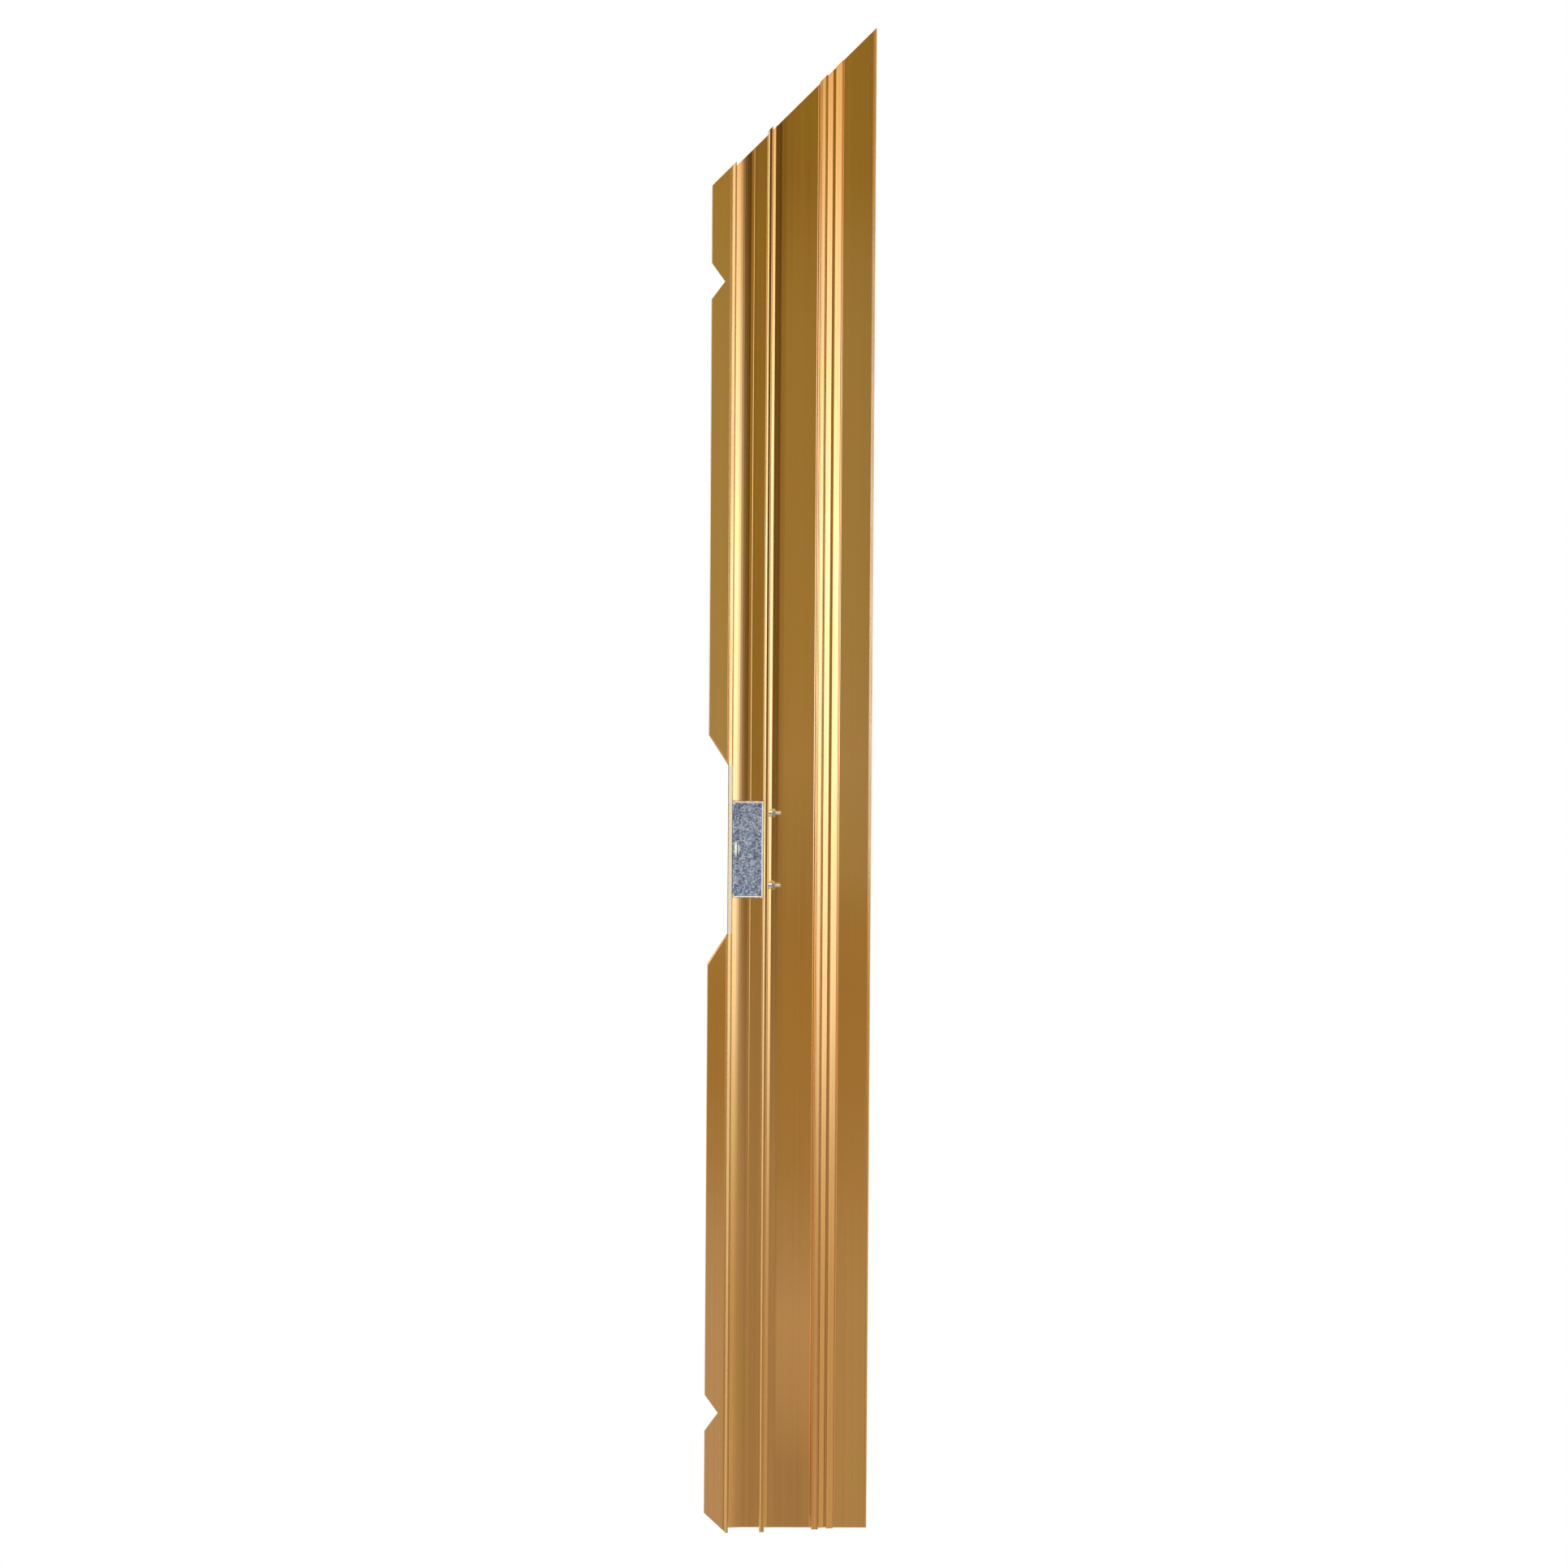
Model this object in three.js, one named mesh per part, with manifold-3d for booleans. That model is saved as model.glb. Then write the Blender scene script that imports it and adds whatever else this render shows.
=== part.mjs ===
// Door-jamb guard: a full-height aluminium extrusion with a folded steel keeper tray in its channel.
// Millimetres, +Z up. x = 0 is the middle of the width, y = 0 is the rear face (it faces +Y),
// and z = 0 is the axis of the lock bolt.
// The section is drawn in u (from the flange's outer edge, u = x + 108.5) and v (forward from the rear face, v = -y).
import * as THREE from "three";
import { mergeVertices } from "three/addons/utils/BufferGeometryUtils.js";
import Module from "manifold-3d";

// Profile
const WIDTH = 217;
const U0 = WIDTH / 2; // u of x = 0
const Z_FOOT = -907; // square-cut foot
const MITRE_Z0 = 876; // height of the 45 degree mitre at u = 0; it rises 1 mm per mm of u
const BASE_T = 2.2; // web and flange thickness
const DEPTH = 32; // rear face to the bead of the deep wall
const WALL_U0 = 29.4; // outer face of the deep wall
const WALL_U1 = 32.1; // inner face of the deep wall
const FLANGE_V0 = 29; // rear face of the front flange
const FIN_U0 = 73.5;
const FIN_U1 = 80.1;
const FIN_TOP = 26.9;
const FIN_BEAD = 27.6; // bead on the fin's edge
const RIDGE_A_TOP = 12.8;
const RIDGE_B_TOP = 7.9;
const MITRE_REACH = MITRE_Z0 + WIDTH; // highest point

// Flange cuts
const CUTOUT_U = 26.2; // the lock cut-out leaves a stub of the flange on the wall
const CUTOUT_HALF_IN = 111.2; // half height at the wall
const CUTOUT_HALF_OUT = 151.3; // half height at the flange's edge
const NOTCH_UP_Z = 750;
const NOTCH_LOW_Z = -747.5;
const NOTCH_DEPTH = 17.5;
const NOTCH_HALF = 24.2;
const FOOT_CHAMFER = 27; // height of the chamfer on the flange's lower corner

// Keeper tray
const SHEET = 2.5;
const TRAY_U0 = 32.4;
const TRAY_U1 = 73.2;
const TRAY_HALF = 64;
const TRAY_V0 = 4.2; // underside of the tray's floor
const TRAY_TOP = 28.6;
const BEND_R = 4; // outer bend radius
const RELIEF = 4.2; // corner relief

// Fasteners
const AXIS_V = 18; // all fastener axes are this far forward of the rear face
const SCREW_Z = 48;
const SCREW_R = 2.95;
const SCREW_HOLE_R = 3.2;
const SCREW_HEAD_R = 5.5;
const SCREW_HEAD_U = 70.8;
const SCREW_TIP_U = 96.6;
const SLEEVE_R = 4; // spacer sleeve through the hollow fin, which keeps the nut from crushing it
const SLEEVE_BORE_R = 3.2;
const SLEEVE_U0 = 73.5;
const SLEEVE_U1 = 85;
const FIN_HOLE_R = 4.2;
const NUT_AF = 10;
const NUT_U0 = 85.2;
const NUT_U1 = 88.8;
const RIVET_R = 5.9;
const RIVET_HOLE_R = 6.1;
const RIVET_HEAD_R = 10.5;
const RIVET_HEAD_U0 = 35;
const RIVET_HEAD_H = 7.2;
const RIVET_CLOSE_R = 8;
const GROOVE_U0 = 38.4; // groove round the rivet's head
const GROOVE_U1 = 39.6;

const wasm = await Module();
wasm.setup();

// A three.js geometry as a solid that can be cut and joined.
function solid(geometry) {
  const g = geometry.clone();
  g.deleteAttribute("normal");
  g.deleteAttribute("uv");
  const m = mergeVertices(g, 1e-4);
  return new wasm.Manifold(
    new wasm.Mesh({
      numProp: 3,
      vertProperties: new Float32Array(m.attributes.position.array),
      triVerts: new Uint32Array(m.index.array),
    }),
  );
}

function geometryOf(s) {
  const m = s.getMesh();
  const v = new Float32Array(m.numVert * 3);
  for (let i = 0; i < m.numVert; i++)
    v.set(m.vertProperties.subarray(i * m.numProp, i * m.numProp + 3), i * 3);
  const g = new THREE.BufferGeometry()
    .setAttribute("position", new THREE.BufferAttribute(v, 3))
    .setIndex(new THREE.BufferAttribute(new Uint32Array(m.triVerts), 1));
  const flat = g.toNonIndexed();
  flat.computeVertexNormals();
  return flat;
}

// Points of an arc in degrees, both ends included.
function arc(cu, cv, r, from, to, n) {
  const out = [];
  for (let i = 0; i <= n; i++) {
    const a = ((from + ((to - from) * i) / n) * Math.PI) / 180;
    out.push([cu + r * Math.cos(a), cv + r * Math.sin(a)]);
  }
  return out;
}

const shapeOf = (points) =>
  new THREE.Shape(points.map(([a, b]) => new THREE.Vector2(a, b)));

// A section in (u, v) run along z from z0 to z1.
function alongZ(points, z0, z1, holes = []) {
  const shape = shapeOf(points);
  for (const h of holes)
    shape.holes.push(
      new THREE.Path(h.map(([a, b]) => new THREE.Vector2(a, b))),
    );
  const g = new THREE.ExtrudeGeometry(shape, {
    depth: z1 - z0,
    bevelEnabled: false,
    curveSegments: 1,
  });
  // (a, b, c) = (u, v, length) to x = u - U0, y = -v, z = z1 - length
  g.applyMatrix4(
    new THREE.Matrix4().set(1, 0, 0, -U0, 0, -1, 0, 0, 0, 0, -1, z1, 0, 0, 0, 1),
  );
  return solid(g);
}

// An outline in (u, z) run through the depth from v0 to v1.
function throughDepth(points, v0, v1) {
  const g = new THREE.ExtrudeGeometry(shapeOf(points), {
    depth: v1 - v0,
    bevelEnabled: false,
  });
  // (a, b, c) = (u, z, length) to x = u - U0, y = -(v0 + length), z
  g.applyMatrix4(
    new THREE.Matrix4().set(1, 0, 0, -U0, 0, 0, -1, -v0, 0, 1, 0, 0, 0, 0, 0, 1),
  );
  return solid(g);
}

// A section in (z, v) run along u from u0 to u1.
function alongU(points, u0, u1) {
  const g = new THREE.ExtrudeGeometry(shapeOf(points), {
    depth: u1 - u0,
    bevelEnabled: false,
  });
  // (a, b, c) = (z, v, length) to x = u0 + length - U0, y = -v, z
  g.applyMatrix4(
    new THREE.Matrix4().set(0, 0, 1, u0 - U0, 0, -1, 0, 0, 1, 0, 0, 0, 0, 0, 0, 1),
  );
  return solid(g);
}

// A profile of [u, radius] turned about the fastener axis at height z.
function turned(profile, z, segments = 32) {
  const g = new THREE.LatheGeometry(
    profile.map(([u, r]) => new THREE.Vector2(r, u)),
    segments,
  );
  // the lathe's axis (0, 1, 0) becomes +X
  g.applyMatrix4(
    new THREE.Matrix4().set(0, 1, 0, -U0, -1, 0, 0, -AXIS_V, 0, 0, 1, z, 0, 0, 0, 1),
  );
  return solid(g);
}

// A hexagon prism about the fastener axis, with its corner edges turned off by cones.
function hexNut(u0, u1, z, turn) {
  const rc = NUT_AF / 2 / Math.cos(Math.PI / 6);
  const points = [];
  for (let i = 0; i < 6; i++) {
    const a = turn + (i * Math.PI) / 3;
    points.push([z + rc * Math.sin(a), AXIS_V + rc * Math.cos(a)]);
  }
  const c = 0.7;
  const body = alongU(points, u0, u1);
  const cone = turned(
    [
      [u0, 0],
      [u0, rc - 0.95],
      [u0 + c, rc + 0.4],
      [u1 - c, rc + 0.4],
      [u1, rc - 0.95],
      [u1, 0],
    ],
    z,
    36,
  );
  const bore = turned(
    [
      [u0 - 1, 0],
      [u0 - 1, SCREW_HOLE_R - 0.05],
      [u1 + 1, SCREW_HOLE_R - 0.05],
      [u1 + 1, 0],
    ],
    z,
  );
  return body.intersect(cone).subtract(bore);
}

// ---- the extrusion
const section = [
  ...arc(WALL_U0 + 2, 2, 2, 180, 270, 4),
  ...arc(WIDTH - 1.5, 1.5, 1.5, -90, 90, 6),
  [WIDTH - 3.2, 1.6], // fine groove beside the edge bead
  [WIDTH - 3.9, BASE_T],
  [173.6, BASE_T], // second ridge: overhangs the slit, and its crown falls outwards
  [172.7, 3.5],
  [171.9, 5.8],
  [170.8, 6.5],
  [163.5, RIDGE_B_TOP],
  [163.0, RIDGE_B_TOP - 0.4],
  [163.0, 4.4],
  [168.6, 4.4],
  [168.6, BASE_T],
  [160.2, BASE_T],
  [159.8, 3.0], // the floor between the ridges climbs to the first one
  [152.4, 4.4],
  [151.9, RIDGE_A_TOP - 0.4], // first ridge
  [151.4, RIDGE_A_TOP],
  [150.0, RIDGE_A_TOP],
  [149.5, RIDGE_A_TOP - 0.55],
  [145.2, RIDGE_A_TOP + 0.1],
  [144.0, RIDGE_A_TOP - 0.1],
  [143.1, RIDGE_A_TOP - 1.1],
  [141.7, 4.0],
  [141.0, 2.6],
  [140.2, BASE_T],
  [99, BASE_T], // floor, swelling a little towards the fin
  [92, BASE_T + 0.15],
  [84, BASE_T + 0.75],
  [82, BASE_T + 1.15],
  [FIN_U1, BASE_T + 1.8],
  [FIN_U1, FIN_TOP - 1.8],
  [FIN_U1 - 0.5, FIN_TOP - 0.7],
  [FIN_U1 - 1.5, FIN_TOP],
  [FIN_U0 + 2.2, FIN_TOP + 0.2],
  [FIN_U0 + 1.7, FIN_BEAD],
  [FIN_U0 + 0.4, FIN_BEAD],
  [FIN_U0, FIN_BEAD - 0.4],
  ...arc(FIN_U0 - 1, BASE_T + 1, 1, 360, 270, 2),
  [59.5, BASE_T], // low rib on the channel floor
  [56.4, BASE_T + 0.07],
  [55.8, BASE_T + 0.25],
  [52.2, BASE_T + 0.1],
  [50, BASE_T + 0.25], // floor, swelling towards the deep wall
  [47, BASE_T + 0.52],
  [44, BASE_T + 0.85],
  [41, BASE_T + 1.23],
  [38, BASE_T + 1.67],
  [35, BASE_T + 2.2],
  [WALL_U1, BASE_T + 2.8],
  [WALL_U1, DEPTH - 0.8],
  [WALL_U1 - 0.4, DEPTH - 0.4],
  [WALL_U1 - 1.3, DEPTH - 0.4], // fine groove on the wall's edge
  [WALL_U1 - 1.9, DEPTH - 0.1],
  [29.4, DEPTH],
  [27.8, DEPTH],
  [26.4, DEPTH - 0.4],
  [26.0, FLANGE_V0 + BASE_T - 0.5], // fine groove between bead and flange
  [25.2, FLANGE_V0 + BASE_T - 0.5],
  [24.8, FLANGE_V0 + BASE_T],
  [0.6, FLANGE_V0 + BASE_T],
  [0, FLANGE_V0 + BASE_T - 0.6],
  [0, FLANGE_V0 + 0.6],
  [0.6, FLANGE_V0],
  [WALL_U0 - 1, FLANGE_V0],
  [WALL_U0, FLANGE_V0 - 1],
];
const finVoid = [
  [FIN_U0 + 2, 2.4],
  [FIN_U0 + 2, FIN_TOP - 2],
  [FIN_U1 - 2, FIN_TOP - 2],
  [FIN_U1 - 2, 2.4],
];
const ridgeVoid = [
  [143.6, 2.4],
  [145.6, 10.4],
  [149.8, 10.4],
  [149.8, 2.4],
];
let profile = alongZ(section, Z_FOOT, MITRE_REACH + 5, [finVoid, ridgeVoid]);
profile = profile.subtract(
  throughDepth(
    [
      [-20, MITRE_Z0 - 20],
      [WIDTH + 20, MITRE_REACH + 20],
      [-20, MITRE_REACH + 20],
    ],
    -5,
    DEPTH + 5,
  ),
);
profile = profile.subtract(
  throughDepth(
    [
      [-WALL_U0, Z_FOOT - 1],
      [-WALL_U0, Z_FOOT + 2 * FOOT_CHAMFER],
      [WALL_U0 * (1 + 1 / FOOT_CHAMFER), Z_FOOT - 1],
    ],
    FLANGE_V0 - 0.5,
    DEPTH + 5,
  ).intersect(
    throughDepth(
      [
        [-6, Z_FOOT - 0.5],
        [WALL_U0 - 1.2, Z_FOOT - 0.5],
        [WALL_U0 - 1.2, Z_FOOT + 60],
        [-6, Z_FOOT + 60],
      ],
      FLANGE_V0 - 0.5,
      DEPTH + 5,
    ),
  ),
);
for (const z of [NOTCH_LOW_Z, NOTCH_UP_Z])
  profile = profile.subtract(
    throughDepth(
      [
        [-6, z - NOTCH_HALF * (1 + 6 / NOTCH_DEPTH)],
        [NOTCH_DEPTH, z],
        [-6, z + NOTCH_HALF * (1 + 6 / NOTCH_DEPTH)],
      ],
      FLANGE_V0 - 2,
      DEPTH + 5,
    ),
  );
const cutSlope = (CUTOUT_HALF_OUT - CUTOUT_HALF_IN) / CUTOUT_U;
profile = profile.subtract(
  throughDepth(
    [
      [-6, -CUTOUT_HALF_OUT - 6 * cutSlope],
      [CUTOUT_U, -CUTOUT_HALF_IN],
      [CUTOUT_U, CUTOUT_HALF_IN],
      [-6, CUTOUT_HALF_OUT + 6 * cutSlope],
    ],
    FLANGE_V0 - 2,
    DEPTH + 5,
  ),
);
for (const s of [-1, 1])
  profile = profile.subtract(
    turned(
      [
        [FIN_U0 - 1, 0],
        [FIN_U0 - 1, FIN_HOLE_R],
        [FIN_U1 + 1, FIN_HOLE_R],
        [FIN_U1 + 1, 0],
      ],
      s * SCREW_Z,
      24,
    ),
  );
// the rivet's closing head lies in a countersink in the deep wall
profile = profile.subtract(
  turned(
    [
      [WALL_U0 - 1, 0],
      [WALL_U0 - 1, RIVET_CLOSE_R + 0.2 + 1],
      [WALL_U0 + 1.9, RIVET_HOLE_R],
      [WALL_U1 + 1, RIVET_HOLE_R],
      [WALL_U1 + 1, 0],
    ],
    0,
    40,
  ),
);

// ---- the tray: a floor with two pairs of lips bent up from it
function channelSection(a0, a1, v0, top, t, r) {
  const ri = r - t;
  return [
    ...arc(a0 + r, v0 + r, r, 180, 270, 5),
    ...arc(a1 - r, v0 + r, r, 270, 360, 5),
    [a1, top - 0.3],
    [a1 - 0.3, top],
    [a1 - t + 0.3, top],
    [a1 - t, top - 0.3],
    ...arc(a1 - r, v0 + r, ri, 360, 270, 4),
    ...arc(a0 + r, v0 + r, ri, 270, 180, 4),
    [a0 + t, top - 0.3],
    [a0 + t - 0.3, top],
    [a0 + 0.3, top],
    [a0, top - 0.3],
  ];
}
let tray = alongZ(
  channelSection(TRAY_U0, TRAY_U1, TRAY_V0, TRAY_TOP, SHEET, BEND_R),
  -TRAY_HALF + RELIEF,
  TRAY_HALF - RELIEF,
).add(
  alongU(
    channelSection(-TRAY_HALF, TRAY_HALF, TRAY_V0, TRAY_TOP, SHEET, BEND_R),
    TRAY_U0 + RELIEF,
    TRAY_U1 - RELIEF,
  ),
);
// the lips meet at the corners above the bend, so the rim is closed
for (const sz of [-1, 1])
  for (const [u, du] of [
    [TRAY_U0, 1],
    [TRAY_U1, -1],
  ]) {
    const a = RELIEF + 0.4;
    const ring = [
      [0, 0.6],
      [0.6, 0],
      [a, 0],
      [a, SHEET],
      [SHEET, SHEET],
      [SHEET, a],
      [0, a],
    ].map(([p, q]) => [u + du * p, sz * (TRAY_HALF - q)]);
    if (du * sz > 0) ring.reverse();
    tray = tray.add(throughDepth(ring, TRAY_V0 + BEND_R, TRAY_TOP));
  }
for (const s of [-1, 1])
  tray = tray.subtract(
    turned(
      [
        [SCREW_HEAD_U - 2, 0],
        [SCREW_HEAD_U - 2, SCREW_HEAD_R + 0.3],
        [SCREW_HEAD_U + 0.35, SCREW_HEAD_R + 0.3],
        [SCREW_HEAD_U + 2.75, SCREW_HOLE_R - 0.05],
        [TRAY_U1 + 1, SCREW_HOLE_R - 0.05],
        [TRAY_U1 + 1, 0],
      ],
      s * SCREW_Z,
      32,
    ),
  );
tray = tray.subtract(
  turned(
    [
      [TRAY_U0 - 1, 0],
      [TRAY_U0 - 1, RIVET_HOLE_R],
      [TRAY_U0 + SHEET + 1, RIVET_HOLE_R],
      [TRAY_U0 + SHEET + 1, 0],
    ],
    0,
    32,
  ),
);

// ---- screws: countersunk head in the tray's inner lip, cross recess, chamfered tip
function screw(z) {
  const body = turned(
    [
      [SCREW_HEAD_U, 0],
      [SCREW_HEAD_U, SCREW_HEAD_R],
      [SCREW_HEAD_U + 0.3, SCREW_HEAD_R],
      [SCREW_HEAD_U + 2.85, SCREW_R],
      [SCREW_TIP_U - 0.9, SCREW_R],
      [SCREW_TIP_U, SCREW_R - 0.9],
      [SCREW_TIP_U, 0],
    ],
    z,
    32,
  );
  const bar = (dz, dv) =>
    alongU(
      [
        [z - dz, AXIS_V - dv],
        [z + dz, AXIS_V - dv],
        [z + dz, AXIS_V + dv],
        [z - dz, AXIS_V + dv],
      ],
      SCREW_HEAD_U - 1,
      SCREW_HEAD_U + 1.3,
    );
  return body.subtract(bar(2.6, 0.55)).subtract(bar(0.55, 2.6));
}

// ---- spacer sleeve: a plain tube round the screw
function sleeve(z) {
  return turned(
    [
      [SLEEVE_U0, SLEEVE_BORE_R],
      [SLEEVE_U0, SLEEVE_R],
      [SLEEVE_U1 - 0.4, SLEEVE_R],
      [SLEEVE_U1, SLEEVE_R - 0.4],
      [SLEEVE_U1, SLEEVE_BORE_R],
      [SLEEVE_U0, SLEEVE_BORE_R],
    ],
    z,
    32,
  );
}

// ---- rivet: round head inside the tray with a groove round it, shank, flush closing head in the deep wall
const crown = (u) => {
  const k = (u - RIVET_HEAD_U0 - 0.3) / (RIVET_HEAD_H - 0.3);
  return RIVET_HEAD_R * Math.sqrt(Math.max(0, 1 - k * k));
};
const dome = [];
for (const u of [35.3, 36, 36.8, 37.6]) dome.push([u, crown(u)]);
dome.push([GROOVE_U0, crown(GROOVE_U0)], [GROOVE_U0 + 0.1, crown(GROOVE_U0) - 1.3]);
dome.push([GROOVE_U1 - 0.1, crown(GROOVE_U1) - 1.3], [GROOVE_U1, crown(GROOVE_U1)]);
for (const u of [40.3, 41, 41.5, 41.9, 42.1]) dome.push([u, crown(u)]);
dome.push([RIVET_HEAD_U0 + RIVET_HEAD_H, 0]);
const rivet = turned(
  [
    [WALL_U0, 0],
    [WALL_U0, RIVET_CLOSE_R],
    [WALL_U0 + 1.9, RIVET_R],
    [RIVET_HEAD_U0, RIVET_R],
    [RIVET_HEAD_U0, RIVET_HEAD_R - 0.7],
    ...dome,
  ],
  0,
  40,
);

// ---- the scene graph
const gold = (name) => new THREE.MeshStandardMaterial({ name, color: 0xa9762c, roughness: 0.34, metalness: 1 });
const zinc = (name) => new THREE.MeshStandardMaterial({ name, color: 0x93a8b8, roughness: 0.45, metalness: 1 });
const bright = (name) => new THREE.MeshStandardMaterial({ name, color: 0xd8d5c8, roughness: 0.25, metalness: 1 });

const part = new THREE.Group();
part.name = "door_jamb_guard";
const keeper = new THREE.Group();
keeper.name = "keeper";
part.add(keeper);

function put(group, name, s, material) {
  const mesh = new THREE.Mesh(geometryOf(s), material(name));
  mesh.name = name;
  group.add(mesh);
}
put(part, "jamb_profile", profile, gold);
put(keeper, "keeper_tray", tray, zinc);
put(keeper, "keeper_screw_upper", screw(SCREW_Z), bright);
put(keeper, "keeper_screw_lower", screw(-SCREW_Z), bright);
put(keeper, "spacer_sleeve_upper", sleeve(SCREW_Z), bright);
put(keeper, "spacer_sleeve_lower", sleeve(-SCREW_Z), bright);
put(keeper, "keeper_nut_upper", hexNut(NUT_U0, NUT_U1, SCREW_Z, Math.PI / 2), bright);
put(keeper, "keeper_nut_lower", hexNut(NUT_U0, NUT_U1, -SCREW_Z, Math.PI / 2), bright);
put(keeper, "keeper_rivet", rivet, bright);

export default part;
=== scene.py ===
import bpy, bmesh, math
from mathutils import Vector, Matrix, geometry


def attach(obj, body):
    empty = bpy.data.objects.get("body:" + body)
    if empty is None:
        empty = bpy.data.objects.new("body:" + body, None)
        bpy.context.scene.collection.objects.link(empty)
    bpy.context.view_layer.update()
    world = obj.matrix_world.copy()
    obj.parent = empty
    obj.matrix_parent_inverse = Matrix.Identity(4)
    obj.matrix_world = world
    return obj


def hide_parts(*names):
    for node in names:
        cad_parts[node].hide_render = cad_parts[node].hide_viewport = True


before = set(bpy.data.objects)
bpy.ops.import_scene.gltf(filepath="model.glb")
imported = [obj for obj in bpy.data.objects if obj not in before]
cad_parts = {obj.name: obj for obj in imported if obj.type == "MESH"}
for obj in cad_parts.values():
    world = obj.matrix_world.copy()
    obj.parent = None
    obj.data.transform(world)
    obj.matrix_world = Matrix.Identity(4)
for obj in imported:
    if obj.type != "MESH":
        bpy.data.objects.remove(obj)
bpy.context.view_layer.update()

# ------------------------------------------------------------------ sizes (mm), in the section frame u, v, z
WIDTH, U0 = 217.0, 108.5
Z_FOOT, MITRE = -907.0, 876.0
WALL0, WALL1 = 29.4, 32.1
FIN0, FIN1 = 73.5, 80.1
AXIS_V, SCREW_Z = 18.0, 48.0


def W(u, v, z):
    """Section frame in mm to the row frame in metres."""
    return Vector(((u - U0) / 1000, -v / 1000, z / 1000))


# ------------------------------------------------------------------ mesh helpers
def rounded(points, default=0.4):
    """A closed outline with every corner turned into an arc. points are (a, b, radius)."""
    n, out = len(points), []
    for i in range(n):
        a, b = points[i][:2]
        r = points[i][2] if len(points[i]) > 2 else default
        p = Vector((a, b))
        prev = Vector(points[i - 1][:2])
        nxt = Vector(points[(i + 1) % n][:2])
        d0, d1 = prev - p, nxt - p
        l0, l1 = d0.length, d1.length
        d0.normalize(); d1.normalize()
        ang = d0.angle(d1)
        if r <= 0 or ang > math.pi - 1e-3:
            out.append((a, b)); continue
        t = r / math.tan(ang / 2)
        lim = 0.48 * min(l0, l1)
        if t > lim:
            t = lim; r = t * math.tan(ang / 2)
        s, e = p + d0 * t, p + d1 * t
        bis = (d0 + d1).normalized()
        c = p + bis * (r / math.sin(ang / 2))
        a0 = math.atan2(s.y - c.y, s.x - c.x)
        a1 = math.atan2(e.y - c.y, e.x - c.x)
        sweep = (a1 - a0 + math.pi) % (2 * math.pi) - math.pi
        k = max(3, min(18, int(math.ceil(abs(sweep) / math.radians(15 if r < 2 else 8)))))
        for j in range(k + 1):
            x = a0 + sweep * j / k
            out.append((c.x + r * math.cos(x), c.y + r * math.sin(x)))
    return out


def area2(loop):
    return sum(loop[i - 1][0] * loop[i][1] - loop[i][0] * loop[i - 1][1] for i in range(len(loop)))


def inset(loop, d):
    """The outline moved by d into its left side (inwards on a counter-clockwise loop)."""
    n, out = len(loop), []
    for i in range(n):
        p = Vector(loop[i]); a = Vector(loop[i - 1]); b = Vector(loop[(i + 1) % n])
        e0 = (p - a).normalized(); e1 = (b - p).normalized()
        n0 = Vector((-e0.y, e0.x)); n1 = Vector((-e1.y, e1.x))
        m = n0 + n1
        q = m.length_squared
        m = m * (2 / q) if q > 0.4 else n0
        out.append((p.x + m.x * d, p.y + m.y * d))
    return out


def build(name, verts, faces, smooth=True):
    me = bpy.data.meshes.new(name)
    me.from_pydata([tuple(v) for v in verts], [], faces)
    bm = bmesh.new(); bm.from_mesh(me)
    bmesh.ops.remove_doubles(bm, verts=bm.verts, dist=2e-7)
    bmesh.ops.dissolve_degenerate(bm, edges=bm.edges, dist=1e-8)
    bmesh.ops.recalc_face_normals(bm, faces=bm.faces)
    bm.to_mesh(me); bm.free()
    ob = bpy.data.objects.new(name, me)
    bpy.context.scene.collection.objects.link(ob)
    for p in me.polygons:
        p.use_smooth = smooth
    return ob


def prism(name, loops, place, ends, chamfer=0.0):
    """Loops (outer first, then holes) carried from ends[0](a) to ends[1](a). place(a, b, c) maps to the row frame.
    With a chamfer the rim of each end is broken by that much."""
    loops = [l if (area2(l) > 0) == (k == 0) else l[::-1] for k, l in enumerate(loops)]
    verts, faces, rings = [], [], []
    lo, hi, slope = ends
    stations = [("lo", 0.0, 0.0), ("hi", 0.0, 0.0)]
    if chamfer > 0:
        stations = [("lo", 0.0, chamfer), ("lo", chamfer, 0.0), ("hi", chamfer, 0.0), ("hi", 0.0, chamfer)]
    for which, back, ins in stations:
        ring = []
        for l in loops:
            q = inset(l, ins) if ins else l
            ids = []
            for a, b in q:
                c = lo(a) + back if which == "lo" else hi(a) - back * slope
                ids.append(len(verts)); verts.append(place(a, b, c))
            ring.append(ids)
        rings.append(ring)
    for r0, r1 in zip(rings, rings[1:]):
        for l0, l1 in zip(r0, r1):
            m = len(l0)
            for i in range(m):
                j = (i + 1) % m
                faces.append((l0[i], l0[j], l1[j], l1[i]))
    for ring, ins in ((rings[0], chamfer), (rings[-1], chamfer)):
        polys = [[Vector((a, b, 0)) for a, b in (inset(l, ins) if ins else l)] for l in loops]
        flat = [i for ids in ring for i in ids]
        for t in geometry.tessellate_polygon(polys):
            faces.append(tuple(flat[i] for i in t))
    return build(name, verts, faces)


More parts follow.
